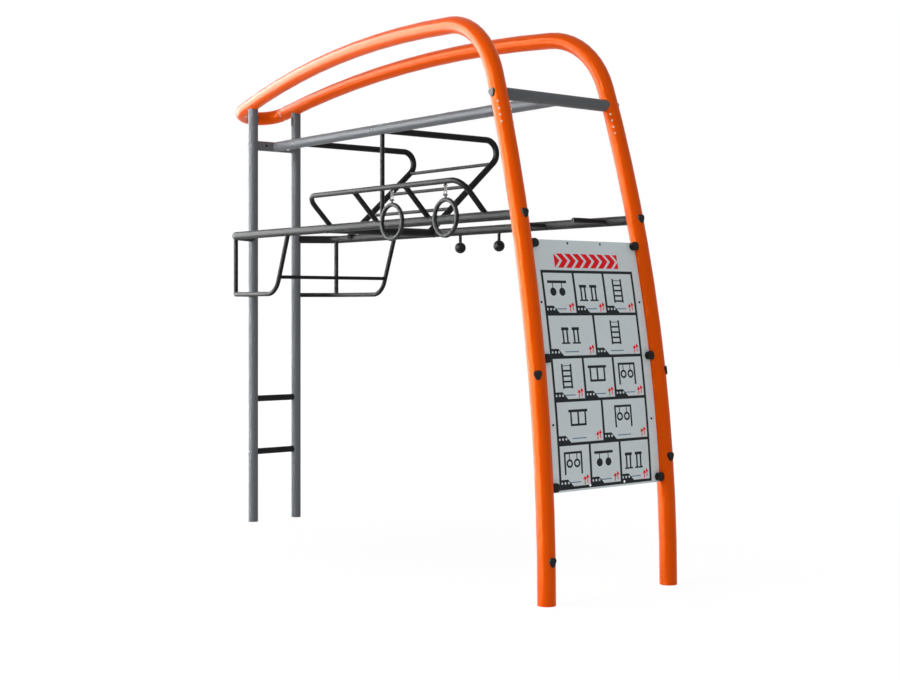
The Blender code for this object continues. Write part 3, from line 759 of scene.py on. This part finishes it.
# Which solids are welded, and to which
WELDS = {
    "ladder_rung_1": ("ladder_rail_rear", "ladder_rail_front"),
    "ladder_rung_2": ("ladder_rail_rear", "ladder_rail_front"),
    "ladder_rung_3": ("ladder_rail_rear", "ladder_rail_front"),
    "ladder_rail_rear": ("rail_ladder_side", "top_beam"),
    "ladder_rail_front": ("rail_ladder_side", "rail_crossbar", "top_beam"),
    "rail_crossbar": ("rail_bar_side", "rail_ladder_side"),
    "centre_strut": ("rail_crossbar", "top_beam"),
    "low_tube_bar_side": ("rail_bar_side",),
    "low_tube_ladder_side": ("rail_ladder_side",),
    "low_strut_bar_side": ("low_tube_bar_side", "rail_bar_side"),
    "low_strut_ladder_side": ("low_tube_ladder_side", "rail_ladder_side"),
    "low_crossbar": ("low_tube_bar_side", "low_tube_ladder_side"),
    "bar_leg_1": ("pull_up_bar", "rail_bar_side"),
    "bar_leg_2": ("pull_up_bar", "rail_bar_side"),
    "pull_up_bar": ("rail_bar_side",),
    "ball_grip_1": ("rail_ladder_side",),
    "ball_grip_2": ("rail_ladder_side",),
    "stub_handle_1": ("rail_ladder_side",),
    "stub_handle_2": ("rail_ladder_side",),
    "post_rung_upper": ("post_bar_side", "post_ladder_side"),
    "post_rung_lower": ("post_bar_side", "post_ladder_side"),
}


# The sign's print


# Its sheet, rules and striped header, in the station's own frame
SHEET_LEFT = -0.375
SHEET_WIDTH = 0.742
SHEET_LOW = 0.648
SHEET_HEIGHT = 1.256
ROWS = 5
RULE = 0.017
HEADER = (-0.262, 0.262, 1.927, 2.012)
STRIPE_SPACING = 0.066
STRIPE_WIDTH = 0.045
PRINT_FACING = 0.3

# Marks in each field: the tab with its dots, the ground line and the arrows
TAB_WIDTH = 0.062
TAB_HEIGHT = 0.05
DOTS = 3
DOT_SPACING = 0.026
DOT_LEVEL = 0.03
DOT_RADIUS = 0.007
GROUND_LINE = (-0.07, 0.028, 0.11, 0.006)
ARROWS = ((0.03, -0.054), (0.052, -0.062))
ARROW_HEAD = (0.04, 0.022)
ARROW_STEM = (0.007, 0.035)
ARROW_LENGTH = 0.05
ARROW_SLANT = 0.65

# The drawing in each field, and the width of its lines as a share of its size
DRAWING_SHARE = 0.84
DRAWING_SHIFT = 0.014
DRAWING_RISE = 0.07
LINE = 0.062


def block(x, z, left, low, width, height):
    """1 inside a rectangle, 0 outside."""
    return (x > left) * (x < left + width) * (z > low) * (z < low + height)


def disc(x, z, middle, level, radius):
    return (x - middle) ** 2 + (z - level) ** 2 < radius**2


def hoop(x, z, middle, level, radius, line):
    return disc(x, z, middle, level, radius) - disc(x, z, middle, level, radius - line)


def drawing_of_rings(x, z):
    """Two rings that hang from a bar; like each drawing, half of it is drawn and mirrored."""
    x = abs(x)
    bar = block(x, z, -0.1, 0.26, 0.44, LINE)
    post = block(x, z, 0.28, -0.3, LINE, 0.6)
    strap = block(x, z, 0.14 - LINE / 4, 0.1, LINE / 2, 0.2)
    return bar.larger(post).larger(strap).larger(hoop(x, z, 0.14, 0.0, 0.12, LINE * 0.9))


def drawing_of_ladder(x, z):
    x = abs(x)
    stile = block(x, z, 0.13, -0.34, LINE, 0.68)
    rungs = block(x, z, -0.1, -0.32, 0.25, 0.62) * ((z + 0.32) % 0.15 < LINE * 0.8)
    return stile.larger(rungs)


def drawing_of_balls(x, z):
    x = abs(x)
    bar = block(x, z, -0.1, 0.2, 0.46, LINE * 1.2)
    stem = block(x, z, 0.17 - LINE / 4, 0.0, LINE / 2, 0.2)
    return bar.larger(stem).larger(disc(x, z, 0.17, -0.04, 0.115))


def drawing_of_low_bar(x, z):
    x = abs(x)
    upright = block(x, z, 0.24, -0.18, LINE, 0.44)
    low = block(x, z, -0.1, -0.18, 0.38, LINE)
    high = block(x, z, -0.1, 0.2, 0.46, LINE * 1.2)
    strut = block(x, z, -0.1, -0.18, 0.1 + LINE / 2, 0.4)
    return upright.larger(low).larger(high).larger(strut)


def drawing_of_bars(x, z):
    """Two handles side by side, each on its own legs."""
    x = abs(x)
    top = block(x, z, 0.06, 0.08, 0.28, LINE * 1.3)
    legs = block(x, z, 0.1, -0.28, LINE, 0.38).larger(block(x, z, 0.25, -0.28, LINE, 0.38))
    foot = block(x, z, 0.04, -0.3, 0.32, LINE * 0.7)
    return top.larger(legs).larger(foot)


DRAWINGS = (
    drawing_of_rings,
    drawing_of_ladder,
    drawing_of_balls,
    drawing_of_low_bar,
    drawing_of_bars,
)


def arrow(x, z, middle, top):
    """A small arrow that points up."""
    width, height = ARROW_HEAD
    slant = abs(x - middle) < (top - z) * ARROW_SLANT
    head = slant * block(x, z, middle - width / 2, top - height, width, height)
    width, height = ARROW_STEM
    return head.larger(block(x, z, middle - width / 2, top - ARROW_LENGTH, width, height))


def sign_print(colours):
    """A plain training chart: a striped header over ruled fields, each with a drawing and a tab."""
    finish = new_finish("sign_print")
    spot = finish.spot()
    _, y, z = finish.axes(spot)
    facing, _, _ = finish.axes(finish.node("ShaderNodeNewGeometry", output="Normal"))
    y = y - STATION.y
    sheet = block(y, z, SHEET_LEFT, SHEET_LOW, SHEET_WIDTH, SHEET_HEIGHT)
    height = SHEET_HEIGHT / ROWS
    row = math.floor((z - SHEET_LOW) / height)
    width = SHEET_WIDTH / (3 - row % 2)
    column = math.floor((y - SHEET_LEFT) / width)
    x = y - SHEET_LEFT - (column + 0.5) * width
    rise = z - SHEET_LOW - (row + 0.5) * height
    low, left = SHEET_LOW - RULE / 2, SHEET_LEFT - RULE / 2
    outer = block(y, z, left, low, SHEET_WIDTH + RULE, SHEET_HEIGHT + RULE)
    rules = (width / 2 - abs(x)).smaller(height / 2 - abs(rise)) < RULE / 2
    from_left = x + width / 2
    from_foot = rise + height / 2
    tab = (from_left < TAB_WIDTH + TAB_HEIGHT - from_foot) * (from_foot < TAB_HEIGHT)
    dots = disc(from_left % DOT_SPACING, from_foot, DOT_SPACING / 2, DOT_LEVEL, DOT_RADIUS)
    marks = tab - tab * dots * (from_left < DOTS * DOT_SPACING)
    kind = (row * 3 + column * 2) % len(DRAWINGS)
    size = height * DRAWING_SHARE
    for number, drawing in enumerate(DRAWINGS):
        drawn = drawing((x + DRAWING_SHIFT) / size, rise / size - DRAWING_RISE)
        marks = marks.larger(drawn * (abs(kind - number) < 0.5))
    first, second = (arrow(width / 2 - x, rise, *place) for place in ARROWS)
    left, right, low, top = HEADER
    chevrons = (y + abs(z - (low + top) / 2)) % STRIPE_SPACING < STRIPE_WIDTH
    stripes = block(y, z, left, low, right - left, top - low) * chevrons
    front = facing > PRINT_FACING
    ink = rules.larger(outer - sheet).larger(marks) * outer * front
    red = (first.larger(second) * sheet).larger(stripes) * front
    blue = block(x, from_foot, *GROUND_LINE) * (1 - tab) * sheet * front
    weather = finish.noise(spot, 6.0, 4.0, 0.6)
    ground = finish.mix(weather, shaded(colours.board, 0.95), shaded(colours.board, 1.04))
    printed = finish.mix(blue, ground, colours.second_ink)
    printed = finish.mix(red, printed, colours.accent)
    printed = finish.mix(ink, printed, colours.ink)
    gloss = 0.42 + (weather - 0.5) * 0.1
    grain = finish.noise(spot, 500.0, 2.0, 0.5)
    shader = finish.principled(
        Base_Color=printed,
        Roughness=gloss,
        Normal=finish.bump(grain, 0.00003),
        Specular_IOR_Level=0.08,
    )
    return finish.show(shader)


# The stage


def seen_share(finish):
    """1 for rays that show the background itself: camera, mirror and glass rays."""
    camera = finish.node("ShaderNodeLightPath", output="Is Camera Ray")
    glossy = camera.beside("Is Glossy Ray")
    through = camera.beside("Is Transmission Ray")
    return camera.larger(glossy).larger(through)


def make_world(scene):
    world = bpy.data.worlds.new("studio")
    scene.world = world
    finish = Finish(world)
    seen = seen_share(finish)
    sockets = {"Color": WHITE, "Strength": AMBIENT}
    light = finish.node("ShaderNodeBackground", sockets=sockets)
    white = finish.node("ShaderNodeBackground", sockets={"Color": WHITE, "Strength": 1.0})
    finish.show(finish.node("ShaderNodeMixShader", sockets={0: seen, 1: light, 2: white}))


def make_floor():
    """A floor that takes shadows near the station and glows white farther away."""
    middle = placed(STAGE_X, 0, 0)
    floor = start_from("circle", "floor", vertices=96, radius=FLOOR_RADIUS, fill_type="NGON")
    finish = new_finish("floor_paper")
    paper = finish.node("ShaderNodeBsdfDiffuse", sockets={"Color": PAPER})
    sockets = {"Color": WHITE, "Strength": FLOOR_GLOW}
    white = finish.node("ShaderNodeEmission", sockets=sockets)
    across, along, _ = finish.axes(finish.spot())
    distance = ((across - middle.x) ** 2 + (along - middle.y) ** 2) ** 0.5
    share = (FLOOR_GLOW_SHARE + distance * FLOOR_GLOW_PER_METRE).smaller(1)
    sockets = {0: seen_share(finish) * share, 1: paper, 2: white}
    coat(floor, finish.show(finish.node("ShaderNodeMixShader", sockets=sockets)))
    floor.location.z = FLOOR_LEVEL
    floor.visible_glossy = False
    floor.visible_shadow = False


def area_light(name, azimuth, elevation, distance, width, height, power):
    """A soft rectangular light, outside the gloss, that faces the station from a side."""
    lamp = bpy.data.lights.new(name, "AREA")
    lamp.shape = "RECTANGLE"
    lamp.size = width
    lamp.size_y = height
    lamp.energy = power
    obj = bpy.data.objects.new(name, lamp)
    bpy.context.scene.collection.objects.link(obj)
    turn = math.radians(azimuth)
    rise = math.radians(elevation)
    level = math.cos(rise)
    towards = Vector((math.cos(turn) * level, math.sin(turn) * level, math.sin(rise)))
    obj.location = placed(STAGE_X, 0, LAMP_AIM) + towards * distance
    obj.rotation_euler = towards.to_track_quat("Z", "Y").to_euler()
    obj.visible_glossy = False


def bare_steel():
    """A collection that keeps the steel pieces out of the panels' glare."""
    steel = bpy.data.collections.new("bare_steel")
    for piece in bpy.data.objects:
        if piece.type == "MESH" and piece.active_material and piece.active_material.name in STEELS:
            steel.objects.link(piece)
    for member in steel.collection_objects:
        member.light_linking.link_state = "EXCLUDE"
    return steel


def make_panels():
    """Tall bright panels, seen only in the gloss along the painted tubes."""
    steel = bare_steel()
    for name, (azimuth, half_angle, strength) in GLOSS_PANELS.items():
        turn = math.radians(azimuth)
        width = 2 * PANEL_DISTANCE * math.tan(math.radians(half_angle))
        towards = Vector((math.cos(turn), math.sin(turn), 0)) * PANEL_DISTANCE
        panel = start_from("grid", name, x_subdivisions=2, y_subdivisions=4, size=1)
        panel.scale = (width, PANEL_HEIGHT, 1)
        panel.location = placed(STAGE_X, 0, PANEL_LEVEL) + towards
        panel.rotation_euler = towards.to_track_quat("Z", "Y").to_euler()
        finish = new_finish(name)
        sockets = {"Color": WHITE, "Strength": strength}
        coat(panel, finish.show(finish.node("ShaderNodeEmission", sockets=sockets)))
        finish.owner.cycles.emission_sampling = "NONE"
        panel.visible_camera = False
        panel.visible_diffuse = False
        panel.visible_shadow = False
        panel.light_linking.receiver_collection = steel


def make_camera(scene):
    camera = bpy.data.cameras.new("photo_view")
    camera.lens = CAMERA_LENS
    camera.sensor_width = CAMERA_SENSOR
    camera.sensor_fit = "HORIZONTAL"
    camera.shift_y = CAMERA_SHIFT
    camera.clip_end = CAMERA_SIGHT
    obj = bpy.data.objects.new("photo_view", camera)
    scene.collection.objects.link(obj)
    obj.location = placed(*CAMERA_PLACE)
    obj.rotation_euler = (math.radians(90), 0, CAMERA_TURN)
    scene.camera = obj


# Operators


class STATION_OT_orange_tubes(bpy.types.Operator):
    """Paint the legs, arches and end bow"""

    bl_idname = "station.orange_tubes"
    bl_label = "Orange Tubes"

    def execute(self, context):
        paint = powder_coat("orange_powder_coat", context.scene.station_colours.orange)
        dress(slot_nodes("orange_paint"), paint)
        return {"FINISHED"}


class STATION_OT_grey_frame(bpy.types.Operator):
    """Paint the posts, crossbars and beam"""

    bl_idname = "station.grey_frame"
    bl_label = "Grey Frame"

    def execute(self, context):
        paint = powder_coat("grey_powder_coat", context.scene.station_colours.grey)
        dress(slot_nodes("grey_paint"), paint)
        return {"FINISHED"}


class STATION_OT_black_frame(bpy.types.Operator):
    """Paint the rails, ladder, bar, low frame and grips, and grain the covers and clamps"""

    bl_idname = "station.black_frame"
    bl_label = "Black Frame"

    def execute(self, context):
        colours = context.scene.station_colours
        names = slot_nodes("black_paint")
        moulded = [name for name in names if name.startswith(("bolt_cover", "sign_clamp"))]
        painted = [name for name in names if name not in moulded]
        dress(painted, powder_coat("black_powder_coat", colours.black))
        dress(moulded, moulded_plastic(colours.plastic), MOULD_EDGE)
        return {"FINISHED"}


class STATION_OT_suspension(bpy.types.Operator):
    """Finish the steel shackles and sleeves and the coated rings"""

    bl_idname = "station.suspension"
    bl_label = "Shackles and Rings"

    def execute(self, context):
        colours = context.scene.station_colours
        dress(slot_nodes("stainless"), brushed_steel("brushed_stainless", colours.steel))
        dress(slot_nodes("ring_rubber"), ring_coating(colours.rubber))
        return {"FINISHED"}


class STATION_OT_sign(bpy.types.Operator):
    """Print the sign"""

    bl_idname = "station.sign"
    bl_label = "Sign"

    def execute(self, context):
        dress(["sign_panel"], sign_print(context.scene.station_colours))
        return {"FINISHED"}


class STATION_OT_splice_screws(bpy.types.Operator):
    """Set the two rows of screws that hold each leg to its arch"""

    bl_idname = "station.splice_screws"
    bl_label = "Splice Screws"

    def execute(self, context):
        scene = context.scene
        # The screws' steel takes the warm Screw colour, which paints in a reflection of the orange
        # tubes.
        steel = brushed_steel("screw_steel_painted_reflection", scene.station_colours.screw)
        pattern = button_head("splice_screw", scene.station_sizes.screw_head, steel)
        spots = [(hand, height) for hand in (1, -1) for height in SPLICE_SCREW_HEIGHTS]
        for name, side in SIDES.items():
            for number, (hand, height) in enumerate(spots, 1):
                tube = ("arch_tube_" if height > SPLICE_HEIGHT else "leg_tube_") + name
                screw = f"splice_screw_{name}_{number}"
                inside_tube = leg_axis(height, side)
                facing = SPLICE_SCREW_FACING * Vector((1, hand, 1))
                fasten(pattern, screw, tube, inside_tube, facing, number)
        bpy.data.objects.remove(pattern)
        return {"FINISHED"}


class STATION_OT_bow_screws(bpy.types.Operator):
    """Set the screws round each joint of the end bow"""

    bl_idname = "station.bow_screws"
    bl_label = "Bow Screws"

    def execute(self, context):
        steel = bpy.data.materials["screw_steel_painted_reflection"]
        pattern = button_head("bow_screw", context.scene.station_sizes.screw_head, steel)
        x, y, z = BOW_JOINT
        for name, side in SIDES.items():
            middle = placed(x, side * y, z)
            facings = [UP, -UP]
            for tilt in BOW_SCREW_TILTS:
                turn = math.radians(tilt)
                facings.append(Vector((0, -side * math.cos(turn), math.sin(turn))))
            for number, facing in enumerate(facings, 1):
                screw = f"bow_screw_{name}_{number}"
                fasten(pattern, screw, "end_bow", middle, facing, number)
        bpy.data.objects.remove(pattern)
        return {"FINISHED"}


class STATION_OT_post_bolts(bpy.types.Operator):
    """Set the bolts on the posts' outer faces and the oval caps on their inner faces"""

    bl_idname = "station.post_bolts"
    bl_label = "Post Bolts and Caps"

    def execute(self, context):
        scene = context.scene
        sizes = scene.station_sizes
        steel = brushed_steel("bolt_steel", scene.station_colours.bolt)
        pattern = button_head("post_bolt", sizes.bolt_head, steel)
        for name, side in SIDES.items():
            for number, height in enumerate(POST_BOLT_HEIGHTS, 1):
                inside_post = placed(0, side * POST_HALF_SPREAD, height)
                bolt = f"post_bolt_{name}_{number}"
                outward = ACROSS * side
                fasten(pattern, bolt, "post_" + name, inside_post, outward, number)
        bpy.data.objects.remove(pattern)
        plastic = bpy.data.materials["moulded_plastic"]
        cap = oval_cap("oval_cap", sizes.cap_length, sizes.cap_width, plastic)
        for name, side in SIDES.items():
            inside_post = placed(0, side * POST_HALF_SPREAD, OVAL_CAP_HEIGHT)
            inward = ACROSS * -side
            fasten(cap, "oval_cap_" + name, "post_" + name, inside_post, inward)
        bpy.data.objects.remove(cap)
        return {"FINISHED"}


class STATION_OT_beam_bolts(bpy.types.Operator):
    """Set the bolts along the beam and in the crossbars"""

    bl_idname = "station.beam_bolts"
    bl_label = "Beam Bolts"

    def execute(self, context):
        steel = bpy.data.materials["bolt_steel"]
        pattern = button_head("beam_bolt", context.scene.station_sizes.bolt_head, steel)
        spots = [(x, UP) for x in BEAM_TOP_BOLTS]
        spots += [(x, -UP) for x in BEAM_LOW_BOLTS]
        for x in BEAM_SIDE_BOLTS:
            spots += [(x, ACROSS), (x, -ACROSS)]
        for number, (x, facing) in enumerate(spots, 1):
            inside_beam = placed(x, 0, BEAM_HEIGHT)
            bolt = f"beam_bolt_{number}"
            fasten(pattern, bolt, "top_beam", inside_beam, facing, number)
        coat(pattern, bpy.data.materials["moulded_plastic"])
        for number, side in enumerate(SIDES.values(), 1):
            inside_bar = placed(0, side * CROSSBAR_BOLT_REACH, BEAM_HEIGHT)
            bolt = f"crossbar_bolt_{number}"
            fasten(pattern, bolt, "post_crossbar", inside_bar, FORWARD, number)
        bpy.data.objects.remove(pattern)
        return {"FINISHED"}


class STATION_OT_sign_screws(bpy.types.Operator):
    """Set the screws in the sign"""

    bl_idname = "station.sign_screws"
    bl_label = "Sign Screws"

    def execute(self, context):
        black = bpy.data.materials["black_powder_coat"]
        pattern = cap_head("sign_screw", context.scene.station_sizes.sign_screw, black)
        spots = [(side, *screw) for screw in SIGN_SCREWS for side in SIDES.values()]
        for number, (side, reach, height, finish) in enumerate(spots, 1):
            coat(pattern, bpy.data.materials[finish])
            behind = placed(leg_axis(height, side).x - STATION.x, side * reach, height)
            screw = f"sign_screw_{number}"
            fasten(pattern, screw, "sign_panel", behind, FORWARD, number)
        bpy.data.objects.remove(pattern)
        return {"FINISHED"}


class STATION_OT_clamp_lids(bpy.types.Operator):
    """Snap a domed lid over each clamp that holds the sign"""

    bl_idname = "station.clamp_lids"
    bl_label = "Clamp Lids"

    def execute(self, context):
        sizes = context.scene.station_sizes
        plastic = bpy.data.materials["moulded_plastic"]
        pattern = domed_lid("clamp_lid", sizes.lid_width, sizes.lid_height, sizes.lid_rise, plastic)
        clamps = [name for name in NODES if name.startswith("sign_clamp")]
        for name in clamps:
            low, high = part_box(name)
            middle = (low + high) / 2
            side = 1 if middle.y > STATION.y else -1
            lean = middle.z / LEG_RADIUS
            front = Vector((math.sqrt(1 - lean**2), 0, lean))
            place, normal = seat(name, middle, front)
            place.y += side * (sizes.lid_width - sizes.lid_height) / 2
            lid = name.replace("sign_clamp", "clamp_lid")
            add_copy(pattern, lid, place, normal)
        bpy.data.objects.remove(pattern)
        return {"FINISHED"}


class STATION_OT_handle_plugs(bpy.types.Operator):
    """Plug the free ends of the stub handles"""

    bl_idname = "station.handle_plugs"
    bl_label = "Handle Plugs"

    def execute(self, context):
        plastic = bpy.data.materials["moulded_plastic"]
        pattern = cap_head("handle_plug", context.scene.station_sizes.plug_width, plastic)
        for number in (1, 2):
            handle = f"stub_handle_{number}"
            low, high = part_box(handle)
            middle = (low + high) / 2
            place, normal = seat(handle, middle, -ACROSS, high.y - low.y)
            add_copy(pattern, f"handle_plug_{number}", place, normal)
        bpy.data.objects.remove(pattern)
        return {"FINISHED"}


class STATION_OT_weld_beads(bpy.types.Operator):
    """Lay weld beads where tubes were coped to each other"""

    bl_idname = "station.weld_beads"
    bl_label = "Weld Beads"

    def execute(self, context):
        scene = context.scene
        paint = powder_coat("weld_paint", shaded(scene.station_colours.black, WELD_SHADE))
        radius = scene.station_sizes.weld_bead
        for name, neighbours in WELDS.items():
            for neighbour in neighbours:
                for number, run in enumerate(cope_edges(name, neighbour), 1):
                    if sum((b - a).length for a, b in zip(run, run[1:])) < SHORTEST_WELD:
                        continue
                    bead = weld_bead(f"weld_{name}_{neighbour}_{number}", run, radius, paint)
                    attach(bead, "frame")
        return {"FINISHED"}


class STATION_OT_stage(bpy.types.Operator):
    """Set the pale floor, the soft light and the camera"""

    bl_idname = "station.stage"
    bl_label = "Stage"

    def execute(self, context):
        make_world(context.scene)
        make_floor()
        for name, setting in LAMPS.items():
            area_light(name, *setting)
        make_panels()
        make_camera(context.scene)
        context.scene.view_settings.view_transform = "Standard"
        return {"FINISHED"}


STEPS = (
    STATION_OT_orange_tubes,
    STATION_OT_grey_frame,
    STATION_OT_black_frame,
    STATION_OT_suspension,
    STATION_OT_sign,
    STATION_OT_splice_screws,
    STATION_OT_bow_screws,
    STATION_OT_post_bolts,
    STATION_OT_beam_bolts,
    STATION_OT_sign_screws,
    STATION_OT_clamp_lids,
    STATION_OT_handle_plugs,
    STATION_OT_weld_beads,
    STATION_OT_stage,
)


class STATION_PT_panel(bpy.types.Panel):
    """Settings and steps of the pull-up station"""

    bl_idname = "STATION_PT_panel"
    bl_label = "Pull-up Station"
    bl_space_type = "VIEW_3D"
    bl_region_type = "UI"
    bl_category = "Station"

    def draw(self, context):
        for settings in (context.scene.station_colours, context.scene.station_sizes):
            box = self.layout.box()
            for name in settings.bl_rna.properties.keys():
                if name not in ("rna_type", "name"):
                    box.prop(settings, name)
        for step in STEPS:
            self.layout.operator(step.bl_idname)


CLASSES = (StationColours, StationSizes, *STEPS, STATION_PT_panel)


def register():
    for item in CLASSES:
        bpy.utils.register_class(item)
    bpy.types.Scene.station_colours = bpy.props.PointerProperty(type=StationColours)
    bpy.types.Scene.station_sizes = bpy.props.PointerProperty(type=StationSizes)


def unregister():
    del bpy.types.Scene.station_sizes
    del bpy.types.Scene.station_colours
    for item in reversed(CLASSES):
        bpy.utils.unregister_class(item)


def main():
    register()
    for step in STEPS:
        group, name = step.bl_idname.split(".")
        getattr(getattr(bpy.ops, group), name)()


if __name__ == "__main__":
    main()
